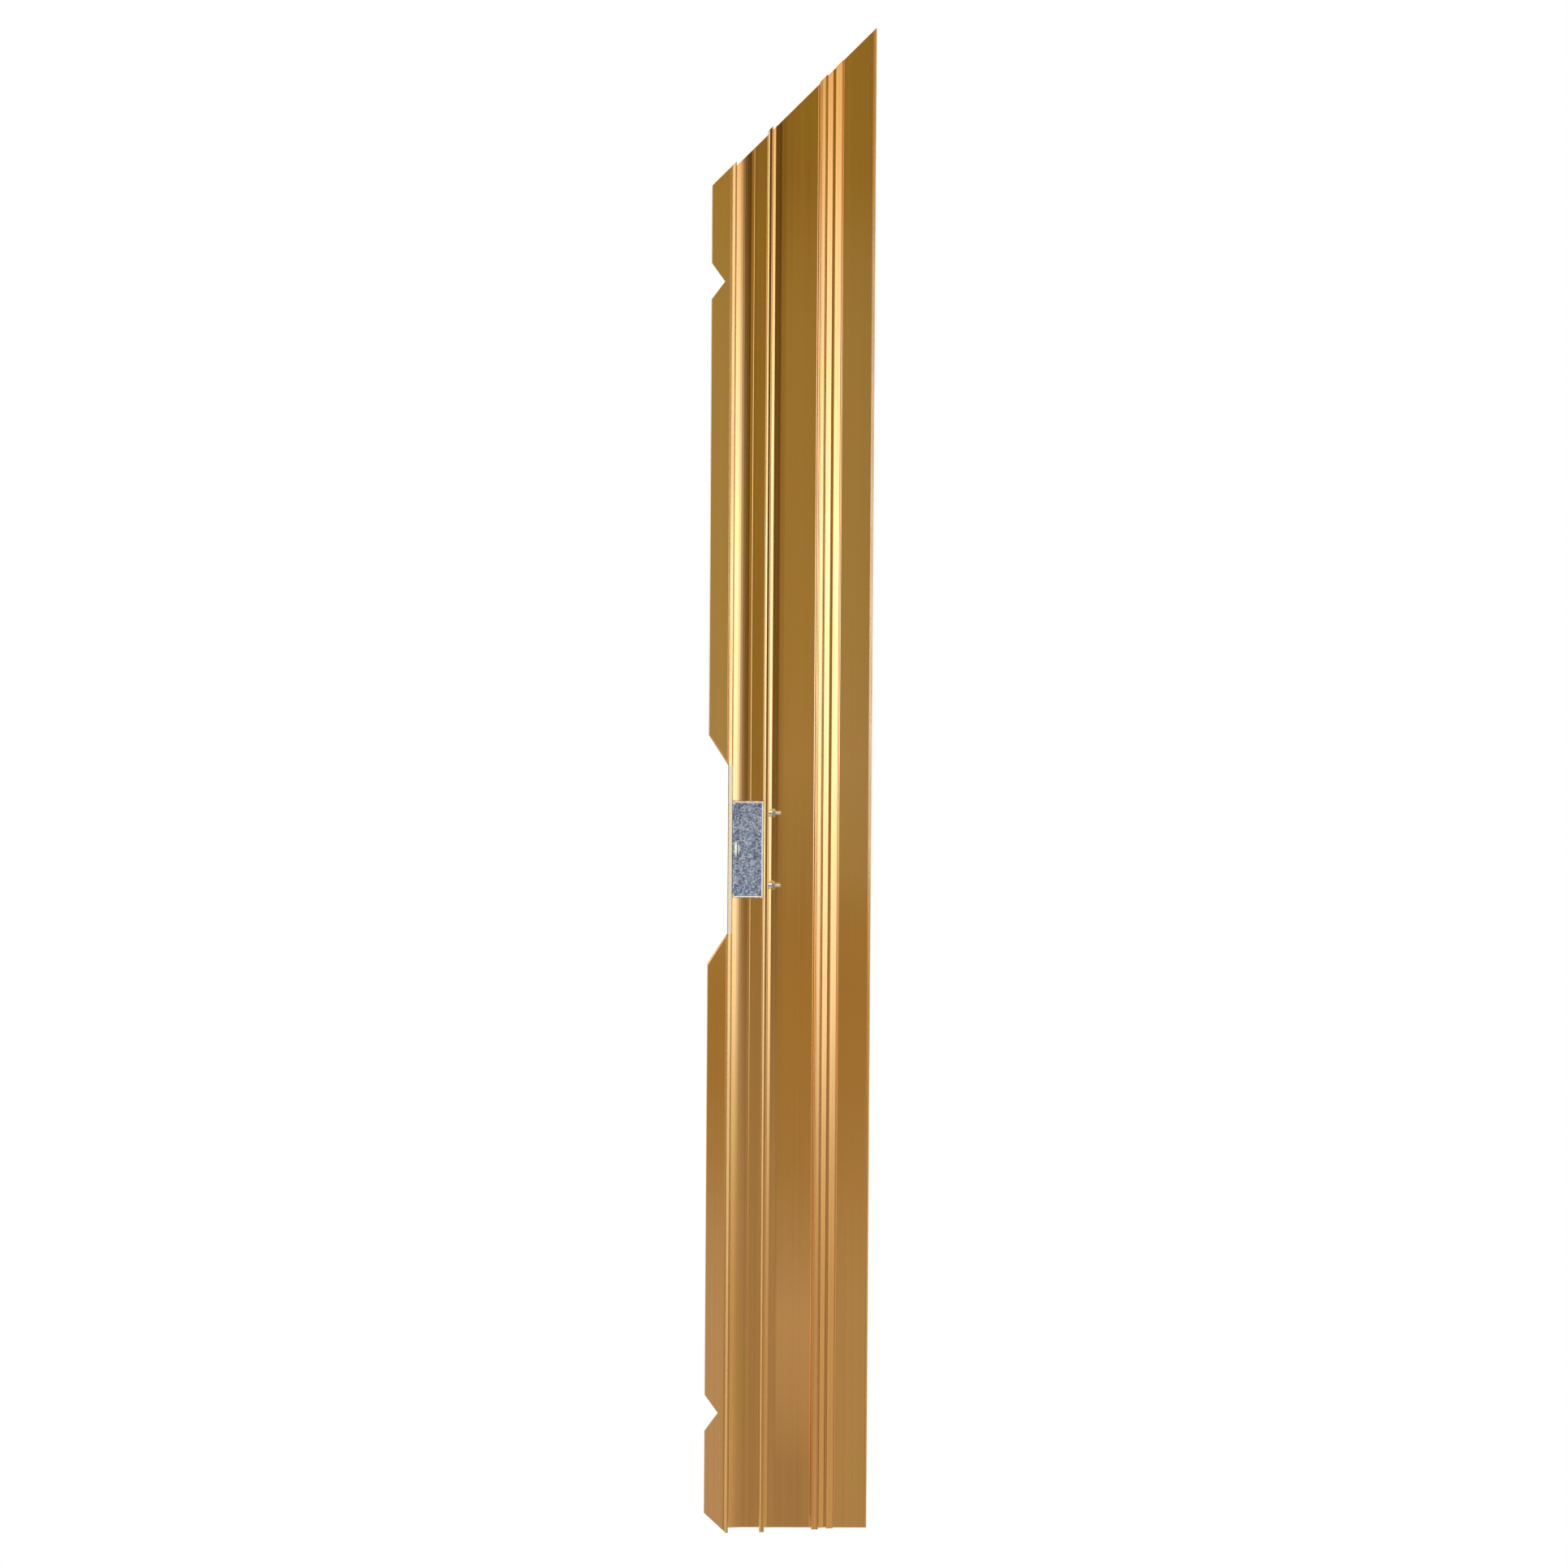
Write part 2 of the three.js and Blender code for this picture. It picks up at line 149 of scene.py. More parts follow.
def lathe(name, profile, z=0.0, seg=64, closed=False):
    """A [u, radius] profile turned about the fastener axis (along X at v = AXIS_V, height z)."""
    verts, faces, rings = [], [], []
    for u, r in profile:
        if r < 1e-6:
            rings.append([len(verts)]); verts.append(W(u, AXIS_V, z)); continue
        ids = []
        for i in range(seg):
            t = 2 * math.pi * i / seg
            ids.append(len(verts)); verts.append(W(u, AXIS_V + r * math.cos(t), z + r * math.sin(t)))
        rings.append(ids)
    pairs = list(zip(rings, rings[1:]))
    if closed:
        pairs.append((rings[-1], rings[0]))
    for a, b in pairs:
        for i in range(seg):
            j = (i + 1) % seg
            if len(a) == 1 and len(b) == 1:
                continue
            if len(a) == 1:
                faces.append((a[0], b[i], b[j]))
            elif len(b) == 1:
                faces.append((a[i], b[0], a[j]))
            else:
                faces.append((a[i], b[i], b[j], a[j]))
    return build(name, verts, faces)


def rod_outline(profile, r, seg=4):
    """A [u, radius] profile with its outer corners rounded."""
    pts = [(u, q, r if 0 < k < len(profile) - 1 else 0) for k, (u, q) in enumerate(profile)]
    n, out = len(pts), []
    for i, (a, b, rr) in enumerate(pts):
        if rr == 0:
            out.append((a, b)); continue
        p, q0, q1 = Vector((a, b)), Vector(pts[i - 1][:2]), Vector(pts[i + 1][:2])
        d0, d1 = q0 - p, q1 - p
        l = 0.45 * min(d0.length, d1.length)
        d0.normalize(); d1.normalize()
        ang = d0.angle(d1)
        if ang > math.pi - 0.05:
            out.append((a, b)); continue
        t = min(rr / math.tan(ang / 2), l)
        s, e = p + d0 * t, p + d1 * t
        for k in range(seg + 1):
            x = k / seg
            m = s.lerp(p, x).lerp(p.lerp(e, x), x)
            out.append((m.x, max(m.y, 0.0)))
    return out


def cut(ob, cutters, op="DIFFERENCE"):
    """Booleans applied one after another, so that only the final mesh is left."""
    for c in cutters:
        m = ob.modifiers.new("cut", "BOOLEAN")
        m.operation, m.object, m.solver = op, c, "EXACT"
        bpy.context.view_layer.update()
        dg = bpy.context.evaluated_depsgraph_get()
        me = bpy.data.meshes.new_from_object(ob.evaluated_get(dg))
        old = ob.data
        ob.modifiers.clear()
        ob.data = me
        bpy.data.meshes.remove(old)
        d = c.data
        bpy.data.objects.remove(c); bpy.data.meshes.remove(d)
        bm = bmesh.new(); bm.from_mesh(ob.data)
        bmesh.ops.remove_doubles(bm, verts=bm.verts, dist=5e-7)
        bmesh.ops.dissolve_degenerate(bm, edges=bm.edges, dist=1e-7)
        bm.to_mesh(ob.data); bm.free()
    return ob


def finish_mesh(ob, angle=28, weighted=True):
    me = ob.data
    for p in me.polygons:
        p.use_smooth = True
    me.set_sharp_from_angle(angle=math.radians(angle))
    if weighted:
        m = ob.modifiers.new("normals", "WEIGHTED_NORMAL")
        m.mode, m.weight, m.keep_sharp = "FACE_AREA", 50, True
    return ob


# ------------------------------------------------------------------ node materials
def material(name):
    m = bpy.data.materials.new(name)
    m.use_nodes = True
    nt = m.node_tree
    for n in list(nt.nodes):
        nt.nodes.remove(n)
    out = nt.nodes.new("ShaderNodeOutputMaterial")
    bsdf = nt.nodes.new("ShaderNodeBsdfPrincipled")
    nt.links.new(bsdf.outputs[0], out.inputs[0])
    return m, nt, bsdf


def node(nt, kind, **inputs):
    n = nt.nodes.new(kind)
    for k, v in inputs.items():
        if hasattr(n, k) and k not in n.inputs:
            setattr(n, k, v)
        else:
            n.inputs[k].default_value = v
    return n


def mapped(nt, scale):
    tc = nt.nodes.new("ShaderNodeTexCoord")
    mp = nt.nodes.new("ShaderNodeMapping")
    mp.inputs["Scale"].default_value = scale
    nt.links.new(tc.outputs["Object"], mp.inputs["Vector"])
    return mp.outputs[0]


def noise(nt, vec, scale=1.0, detail=3.0, rough=0.5, distortion=0.0):
    n = nt.nodes.new("ShaderNodeTexNoise")
    n.inputs["Scale"].default_value = scale
    n.inputs["Detail"].default_value = detail
    n.inputs["Roughness"].default_value = rough
    n.inputs["Distortion"].default_value = distortion
    nt.links.new(vec, n.inputs["Vector"])
    return n.outputs[0]


def remap(nt, fac, lo, hi, a=0.3, b=0.7):
    n = nt.nodes.new("ShaderNodeMapRange")
    n.inputs["From Min"].default_value = a
    n.inputs["From Max"].default_value = b
    n.inputs["To Min"].default_value = lo
    n.inputs["To Max"].default_value = hi
    nt.links.new(fac, n.inputs["Value"])
    return n.outputs[0]


def ramp(nt, fac, stops):
    n = nt.nodes.new("ShaderNodeValToRGB")
    r = n.color_ramp
    while len(r.elements) < len(stops):
        r.elements.new(0.5)
    for e, (p, c) in zip(r.elements, stops):
        e.position, e.color = p, (*c, 1.0)
    nt.links.new(fac, n.inputs["Fac"])
    return n.outputs[0]


def mixc(nt, fac, a, b, mode="MIX"):
    n = nt.nodes.new("ShaderNodeMix")
    n.data_type, n.blend_type = "RGBA", mode
    fs, sa, sb = n.inputs[0], n.inputs[6], n.inputs[7]
    for sock, val in ((fs, fac), (sa, a), (sb, b)):
        if isinstance(val, (int, float)):
            sock.default_value = val
        elif isinstance(val, tuple):
            sock.default_value = (*val, 1.0)
        else:
            nt.links.new(val, sock)
    return n.outputs[2]


def product(nt, a, b):
    n = nt.nodes.new("ShaderNodeMath")
    n.operation = "MULTIPLY"
    nt.links.new(a, n.inputs[0])
    nt.links.new(b, n.inputs[1])
    return n.outputs[0]


def bump(nt, height, strength, distance, normal=None):
    n = nt.nodes.new("ShaderNodeBump")
    n.inputs["Strength"].default_value = strength
    n.inputs["Distance"].default_value = distance
    nt.links.new(height, n.inputs["Height"])
    if normal is not None:
        nt.links.new(normal, n.inputs["Normal"])
    return n.outputs[0]


def gold_anodised():
    m, nt, b = material("gold_anodised")
    b.inputs["Metallic"].default_value = 1.0
    b.inputs["Anisotropic"].default_value = 0.0
    b.inputs["Anisotropic Rotation"].default_value = 0.25
    # die lines: constant along the length, fine across it
    lines = noise(nt, mapped(nt, (900, 900, 0.7)), 1.0, 4.0, 0.65)
    broad = noise(nt, mapped(nt, (120, 120, 0.35)), 1.0, 2.0, 0.5)
    cloud = noise(nt, mapped(nt, (14, 14, 3.2)), 1.0, 3.0, 0.55, 0.4)
    tint = noise(nt, mapped(nt, (22, 22, 9)), 1.0, 2.0, 0.5)
    col = ramp(nt, cloud, [(0.30, (0.80, 0.375, 0.048)), (0.55, (0.85, 0.405, 0.058)), (0.75, (0.88, 0.430, 0.074))])
    green = ramp(nt, tint, [(0.56, (1.0, 1.0, 1.0)), (0.70, (0.97, 1.06, 0.55))])
    col = mixc(nt, 1.0, col, green, "MULTIPLY")
    streak = ramp(nt, lines, [(0.35, (0.90, 0.89, 0.86)), (0.65, (1.0, 1.0, 1.0))])
    col = mixc(nt, 1.0, col, streak, "MULTIPLY")
    bands = ramp(nt, broad, [(0.35, (0.92, 0.91, 0.88)), (0.65, (1.0, 1.0, 1.0))])
    col = mixc(nt, 1.0, col, bands, "MULTIPLY")
    tc = nt.nodes.new("ShaderNodeTexCoord")
    sx = nt.nodes.new("ShaderNodeSeparateXYZ")
    nt.links.new(tc.outputs["Object"], sx.inputs[0])
    front = remap(nt, sx.outputs[1], 1.0, 0.0, -0.0012, -0.0004)
    # painted highlight: the flange (u below about 23.5) and the flats right of about u 174 are painted paler than the
    # rest of the front
    pale = remap(nt, sx.outputs[0], 1.0, 0.0, -0.0850, -0.0820)
    col = mixc(nt, product(nt, front, pale), col, (1.0, 0.545, 0.18))
    col = mixc(nt, product(nt, front, remap(nt, sx.outputs[0], 0.0, 0.45, 0.0640, 0.0670)), col, (1.0, 0.56, 0.12))
    # painted light: the front is painted paler over the upper half (painted highlight) and painted darker below the
    # keeper (painted shade)
    h = remap(nt, sx.outputs[2], 0.0, 1.0, -0.907, 1.093)
    web = product(nt, remap(nt, sx.outputs[0], 0.0, 1.0, -0.0165, -0.0125), remap(nt, sx.outputs[0], 1.0, 0.0, 0.0320, 0.0350))
    right = remap(nt, sx.outputs[0], 0.0, 1.0, 0.0640, 0.0670)
    up = product(nt, front, ramp(nt, h, [(0.40, (0, 0, 0)), (0.46, (0.5, 0.5, 0.5)), (0.51, (1, 1, 1)), (0.80, (0.9, 0.9, 0.9)), (0.85, (0.6, 0.6, 0.6)), (0.90, (0, 0, 0))]))
    low = product(nt, front, ramp(nt, h, [(0.14, (0, 0, 0)), (0.20, (0.25, 0.25, 0.25)), (0.25, (0.75, 0.75, 0.75)), (0.30, (1, 1, 1)), (0.36, (1, 1, 1)), (0.41, (0.5, 0.5, 0.5)), (0.44, (0, 0, 0))]))
    col = mixc(nt, product(nt, up, web), col, (0.95, 0.50, 0.165))
    for side in (pale, right):
        col = mixc(nt, product(nt, up, side), col, (1.0, 0.60, 0.305))
    for side in (pale, web, right):
        col = mixc(nt, product(nt, low, side), col, (0.79, 0.35, 0.0))
    # painted highlight: the web is painted paler again towards the foot
    foot = product(nt, front, ramp(nt, h, [(0.04, (0, 0, 0)), (0.09, (0.7, 0.7, 0.7)), (0.14, (1, 1, 1)), (0.19, (0.4, 0.4, 0.4)), (0.24, (0, 0, 0))]))
    col = mixc(nt, product(nt, foot, web), col, (1.0, 0.51, 0.13))
    col = mixc(nt, 0.6, col, streak, "MULTIPLY")
    nt.links.new(col, b.inputs["Base Color"])
    r = remap(nt, broad, 0.13, 0.17)
    b.inputs["Coat Weight"].default_value = 1.0
    b.inputs["Coat Roughness"].default_value = 0.12
    b.inputs["Coat IOR"].default_value = 2.0
    nt.links.new(r, b.inputs["Roughness"])
    t = nt.nodes.new("ShaderNodeCombineXYZ")
    t.inputs[2].default_value = 1.0
    nt.links.new(t.outputs[0], b.inputs["Tangent"])
    nt.links.new(bump(nt, lines, 0.05, 0.00004), b.inputs["Normal"])
    return m


def bare_aluminium():
    m, nt, b = material("bare_aluminium")
    b.inputs["Metallic"].default_value = 1.0
    saw = noise(nt, mapped(nt, (260, 2600, 260)), 1.0, 3.0, 0.6)
    spots = noise(nt, mapped(nt, (700, 700, 700)), 1.0, 2.0, 0.6)
    col = ramp(nt, saw, [(0.3, (0.80, 0.66, 0.43)), (0.7, (0.93, 0.79, 0.55))])
    nt.links.new(col, b.inputs["Base Color"])
    nt.links.new(remap(nt, spots, 0.34, 0.5), b.inputs["Roughness"])
    nt.links.new(bump(nt, saw, 0.25, 0.00008), b.inputs["Normal"])
    return m


def zinc_sheet():
    m, nt, b = material("zinc_sheet")
    b.inputs["Metallic"].default_value = 1.0
    v = nt.nodes.new("ShaderNodeTexVoronoi")
    v.feature = "F1"
    v.inputs["Scale"].default_value = 1.0
    v.inputs["Randomness"].default_value = 1.0
    nt.links.new(mapped(nt, (420, 420, 420)), v.inputs["Vector"])
    cell = nt.nodes.new("ShaderNodeSeparateColor")
    nt.links.new(v.outputs["Color"], cell.inputs[0])
    fine = noise(nt, mapped(nt, (430, 430, 430)), 1.0, 5.0, 0.8)
    cloud = noise(nt, mapped(nt, (75, 75, 60)), 1.0, 3.0, 0.6)
    blend = nt.nodes.new("ShaderNodeMath"); blend.operation = "ADD"
    half = nt.nodes.new("ShaderNodeMath"); half.operation = "MULTIPLY"; half.inputs[1].default_value = 0.35
    nt.links.new(cell.outputs[0], half.inputs[0])
    half2 = nt.nodes.new("ShaderNodeMath"); half2.operation = "MULTIPLY"; half2.inputs[1].default_value = 0.65
    nt.links.new(fine, half2.inputs[0])
    nt.links.new(half.outputs[0], blend.inputs[0]); nt.links.new(half2.outputs[0], blend.inputs[1])
    col = ramp(nt, blend.outputs[0], [(0.34, (0.17, 0.21, 0.30)), (0.50, (0.42, 0.47, 0.62)), (0.66, (0.80, 0.84, 0.97))])
    warm = ramp(nt, cloud, [(0.35, (0.90, 0.97, 1.0)), (0.70, (1.0, 0.95, 1.0))])
    col = mixc(nt, 1.0, col, warm, "MULTIPLY")
    nt.links.new(col, b.inputs["Base Color"])
    nt.links.new(remap(nt, blend.outputs[0], 0.50, 0.34), b.inputs["Roughness"])
    nt.links.new(bump(nt, fine, 0.35, 0.0001), b.inputs["Normal"])
    return m


def zinc_fastener(name, base=(0.76, 0.73, 0.64), r0=0.14, r1=0.24, metal=1.0):
    m, nt, b = material(name)
    b.inputs["Metallic"].default_value = metal
    n = noise(nt, mapped(nt, (900, 900, 900)), 1.0, 3.0, 0.6)
    lo = tuple(0.86 * c for c in base)
    col = ramp(nt, n, [(0.3, lo), (0.7, base)])
    nt.links.new(col, b.inputs["Base Color"])
    nt.links.new(remap(nt, n, r1, r0), b.inputs["Roughness"])
    nt.links.new(bump(nt, n, 0.12, 0.00005), b.inputs["Normal"])
    return m


def gold_arris():
    """The thin beads: the same finish, painted paler along the crest as a painted highlight."""
    m, nt, b = material("gold_arris")
    b.inputs["Metallic"].default_value = 1.0
    lines = noise(nt, mapped(nt, (900, 900, 0.7)), 1.0, 3.0, 0.6)
    bead_tone = noise(nt, mapped(nt, (200, 200, 5.0)), 1.0, 3.0, 0.6)
    col = ramp(nt, bead_tone, [(0.25, (0.86, 0.50, 0.15)), (0.75, (0.93, 0.64, 0.28))])
    streak = ramp(nt, lines, [(0.35, (0.93, 0.92, 0.90)), (0.65, (1.0, 1.0, 1.0))])
    nt.links.new(mixc(nt, 1.0, col, streak, "MULTIPLY"), b.inputs["Base Color"])
    nt.links.new(remap(nt, bead_tone, 0.30, 0.22), b.inputs["Roughness"])
    nt.links.new(bump(nt, lines, 0.05, 0.00004), b.inputs["Normal"])
    return m


GOLD, BARE, ZINC = gold_anodised(), bare_aluminium(), zinc_sheet()
ARRIS = gold_arris()
# painted highlight: the tray lips' top edges are painted pale cream
LIPS = zinc_fastener("zinc_lip", (0.97, 0.92, 0.78), 0.40, 0.55)
NUTS = zinc_fastener("zinc_nut", (0.52, 0.56, 0.60), 0.22, 0.34)
# painted shade: the rivet head's groove faces are painted near-black
DARK = zinc_fastener("rivet_groove", (0.06, 0.05, 0.04), 0.40, 0.50)
FAST = zinc_fastener("zinc_fastener")
# painted highlight: the rivet is painted plain white and non-metallic to stand for its bright polished highlights
RIVET = zinc_fastener("rivet_steel", (1.0, 1.0, 0.97), 0.25, 0.35, 0.0)

# ------------------------------------------------------------------ the extrusion
section = rounded([
    (WALL0, 0, 2.0),
    (217, 0, 1.45), (217, 3.0, 1.45), (214.9, 3.0, 0.8), (213.9, 1.6, 0.3), (213.1, 2.2, 0.4),
    (173.6, 2.2, 1.2), (171.7, 6.4, 1.6), (163.0, 8.0, 0.5),
    (163.0, 4.4, 0.35), (168.6, 4.4, 0.3), (168.6, 2.2, 0.3), (160.2, 2.2, 0.3),
    (159.8, 3.0, 0.3), (152.4, 4.4, 1.0),
    (151.9, 12.8, 0.45), (149.9, 12.8, 0.6), (149.5, 12.25, 0.25),
    (143.4, 13.2, 2.0),
    (141.3, 2.2, 1.8),
    (99, 2.2, 6), (92, 2.35, 20), (84.0, 2.95, 6), (82.0, 3.35, 3), (FIN1, 4.0, 0.8), (FIN1, 26.7, 1.6), (75.9, 26.95, 0.2), (75.5, 27.15, 0.3), (FIN0, 27.6, 0.6),
    (FIN0, 2.2, 1.0),
    (59.5, 2.2, 0.5), (56.4, 2.27, 0.3), (55.8, 2.45, 0.3), (52.2, 2.30, 0.9),
    (50.0, 2.45, 8), (47.0, 2.72, 20), (44.0, 3.05, 20), (41.0, 3.43, 20), (38.0, 3.87, 20), (35.0, 4.40, 20), (WALL1, 5.0, 0.7), (WALL1, 31.4, 0.5), (30.9, 31.3, 0.3), (30.2, 31.45, 0.3), (27.1, 32, 1.0),
    (26.2, 30.7, 0.3), (25.0, 30.7, 0.2), (24.8, 31.2, 0.3),
    (0, 31.2, 0.8), (0, 29, 0.6), (WALL0, 29, 1.2),
])
fin_void = rounded([(FIN0 + 2, 2.4, 0.4), (FIN1 - 2, 2.4, 0.4), (FIN1 - 2, 24.9, 0.4), (FIN0 + 2, 24.9, 0.4)])
ridge_void = rounded([(143.6, 2.4, 0.5), (149.8, 2.4, 0.5), (149.8, 10.4, 0.5), (145.6, 10.4, 0.5)])
profile = prism("jamb_profile_skin", [section, fin_void, ridge_void], W,
                (lambda u: Z_FOOT, lambda u: MITRE + u, 1.4142), 0.22)


def depth_cutter(name, outline, levels):
    """An outline in (u, z) carried through the depth. levels are (v, how far the outline grows there)."""
    if area2(outline) < 0:
        outline = outline[::-1]
    verts, faces, n = [], [], len(outline)
    for v, grow in levels:
        for u, z in inset(outline, -grow):
            verts.append(W(u, v, z))
    for k in range(len(levels) - 1):
        for i in range(n):
            j = (i + 1) % n
            faces.append((k * n + i, k * n + j, (k + 1) * n + j, (k + 1) * n + i))
    faces.append(tuple(range(n)))
    faces.append(tuple(range((len(levels) - 1) * n, len(levels) * n)))
    return build(name, verts, faces)


CUT_U = 26.2


def wedge(s, e):
    """The bevel along one sloping edge of the lock cut-out, from v 30.7 forward."""
    k, verts = math.hypot(1, s), []
    for v, g in ((30.7, 0.0), (32.6, 4.94)):
        for u, extra in ((-8, 0), (CUT_U, 0)):
            z = 111.6 + s * (CUT_U - u)
            verts += [W(u, v, e * (z - 3)), W(u, v, e * (z + g * k))]
    # per level: (-8 inner, -8 outer, CUT_U inner, CUT_U outer)
    a, b, c, d, a2, b2, c2, d2 = range(8)
    return build("c", verts, [(a, c, c2, a2), (b, b2, d2, d), (a, a2, b2, b), (c, d, d2, c2), (a, b, d, c), (a2, c2, d2, b2)])


LIP = [(28.4, 0.75), (29.2, 0.0), (30.8, 0.0), (32.6, 1.8)]
cutters = []
for z in (750.0, -747.5):
    k = 24.2 * (1 + 8 / 17.5)
    cutters.append(depth_cutter("c", [(-8, z - k), (17.1, z - 0.55), (17.5, z), (17.1, z + 0.55), (-8, z + k)], LIP))
s = (151.3 - 111.2) / CUT_U
cutters.append(depth_cutter("c", [(-8, -151.3 - 8 * s), (CUT_U - 0.6, -112.1), (CUT_U, -111.0), (CUT_U, 111.0), (CUT_U - 0.6, 112.1), (-8, 151.3 + 8 * s)], LIP[:2] + [(32.6, 0.0)]))
cutters += [wedge(s, e) for e in (-1, 1)]
f = 27 / 29.4
cutters.append(depth_cutter("c", [(-12, Z_FOOT - 3), (28.35, Z_FOOT - 3), (28.35, Z_FOOT + 1.05 * f), (-12, Z_FOOT + (29.4 + 12) * f)],
                            [(28.4, 0.0), (32.6, 0.0)]))
for z in (-SCREW_Z, SCREW_Z):
    cutters.append(lathe("c", [(FIN0 - 1, 0), (FIN0 - 1, 5.1), (FIN0 + 0.1, 4.2), (FIN1 - 0.1, 4.2), (FIN1 + 1, 5.1), (FIN1 + 1, 0)], z, 48))
cutters.append(lathe("c", [(WALL0 - 1, 0), (WALL0 - 1, 9.2), (WALL0 + 1.9, 6.1), (WALL1 + 1, 6.1), (WALL1 + 1, 0)], 0, 64))
cut(profile, cutters)
profile.data.materials.append(GOLD)
profile.data.materials.append(BARE)
profile.data.materials.append(ARRIS)
# the wall's edge is split where the cut-out starts and ends, so that the milled stretch can be bare
bm = bmesh.new(); bm.from_mesh(profile.data)
for zz in (-0.1116, 0.1116):
    strip = [q for q in bm.faces if all(25.4 < w.co.x * 1000 + U0 < 32.4 and -w.co.y * 1000 > 30.0 for w in q.verts)]
    geom = strip + list({e for q in strip for e in q.edges}) + list({w for q in strip for w in q.verts})
    bmesh.ops.bisect_plane(bm, geom=geom, dist=1e-7, plane_co=(0, 0, zz), plane_no=(0, 0, 1))
bm.to_mesh(profile.data); bm.free()
for p in profile.data.polygons:
    c, n = p.center * 1000, p.normal
    u, v, z = c.x + U0, -c.y, c.z
    bare = abs(n.z) > 0.04 and n.y > -0.75
    if CUT_U - 0.8 < u < CUT_U + 0.15 and v > 28.9 and abs(z) < 113 and n.x < -0.3:
        bare = True
    for zz in (-SCREW_Z, SCREW_Z):
        if math.hypot(v - AXIS_V, z - zz) < 4.7 and FIN0 - 0.2 < u < FIN1 + 0.2:
            bare = True
    if math.hypot(v - AXIS_V, z) < 8.6 and WALL0 - 0.2 < u < WALL1 + 0.2:
        bare = True
    if 27.0 < u < 32.3 and v > 30.2 and abs(z) < 112 and max(abs(profile.data.vertices[i].co.z) for i in p.vertices) < 0.1125:
        bare = True
    # painted highlight: the fin's left bead, the right edge and the wall bead take the paler arris material
    arris = (FIN0 - 0.1 < u < 75.6 and v > 26.9) or (u > 216.2 and v > 1.2) or (27.2 < u < 30.3 and v > 31.3)
    p.material_index = 1 if bare else 2 if arris else 0
finish_mesh(profile)
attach(profile, "root"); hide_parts("jamb_profile")


# ------------------------------------------------------------------ keeper tray
def channel(a0, a1, v0, top, t, r):
    ri = r - t
    return rounded([(a0, v0, r), (a1, v0, r), (a1, top, 1.1), (a1 - t, top, 1.1), (a1 - t, v0 + t, ri),
                    (a0 + t, v0 + t, ri), (a0 + t, top, 1.1), (a0, top, 1.1)])


T0, T1, TH, TV, TT, SH = 32.4, 73.2, 64.0, 4.2, 28.6, 2.5
tray = prism("keeper_tray_skin", [channel(T0, T1, TV, TT, SH, 4.0)], W,
             (lambda a: -TH + 4.2, lambda a: TH - 4.2, 1.0), 0.3)
cross = prism("c", [channel(-TH, TH, TV, TT, SH, 4.0)], lambda a, b, c: W(c, b, a),
              (lambda a: T0 + 4.2, lambda a: T1 - 4.2, 1.0), 0.3)
posts = [cross]
for sz in (-1, 1):
    for u0, du in ((T0, 1), (T1, -1)):
        ring = [(u0 + du * a, sz * (TH - b)) for a, b in ((0, 0), (4.6, 0), (4.6, SH), (SH, SH), (SH, 4.6), (0, 4.6))]
        if area2(ring) < 0:
            ring = ring[::-1]
        ring = rounded([(a, b, 0.9 if k == [i for i, q in enumerate(ring) if abs(q[0] - u0) < 1e-6 and abs(abs(q[1]) - TH) < 1e-6][0] else 0.0) for k, (a, b) in enumerate(ring)])
        posts.append(depth_cutter("c", ring, [(TV + 4.0, 0.0), (TT - 0.25, 0.0), (TT, -0.2)]))
cut(tray, posts, "UNION")
cutters = [lathe("c", [(T0 - 1, 0), (T0 - 1, 6.1), (T0 + SH + 1, 6.1), (T0 + SH + 1, 0)], 0, 64)]
for z in (-SCREW_Z, SCREW_Z):
    cutters.append(lathe("c", [(68.8, 0), (68.8, 5.85), (71.15, 5.85), (73.55, 3.15), (75, 3.15), (75, 0)], z, 64))
cut(tray, cutters)
tray.data.materials.append(ZINC)
tray.data.materials.append(LIPS)
for p in tray.data.polygons:
    u, v, z = p.center.x * 1000 + U0, -p.center.y * 1000, abs(p.center.z * 1000)
    # painted highlight: the top faces of the right, upper and lower lips take the pale lip material
    p.material_index = 1 if v > TT - 1.3 and (u > T1 - SH - 0.1 or TH - SH - 0.1 < z < TH - 1.0) else 0
finish_mesh(tray)
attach(tray, "root"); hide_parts("keeper_tray")


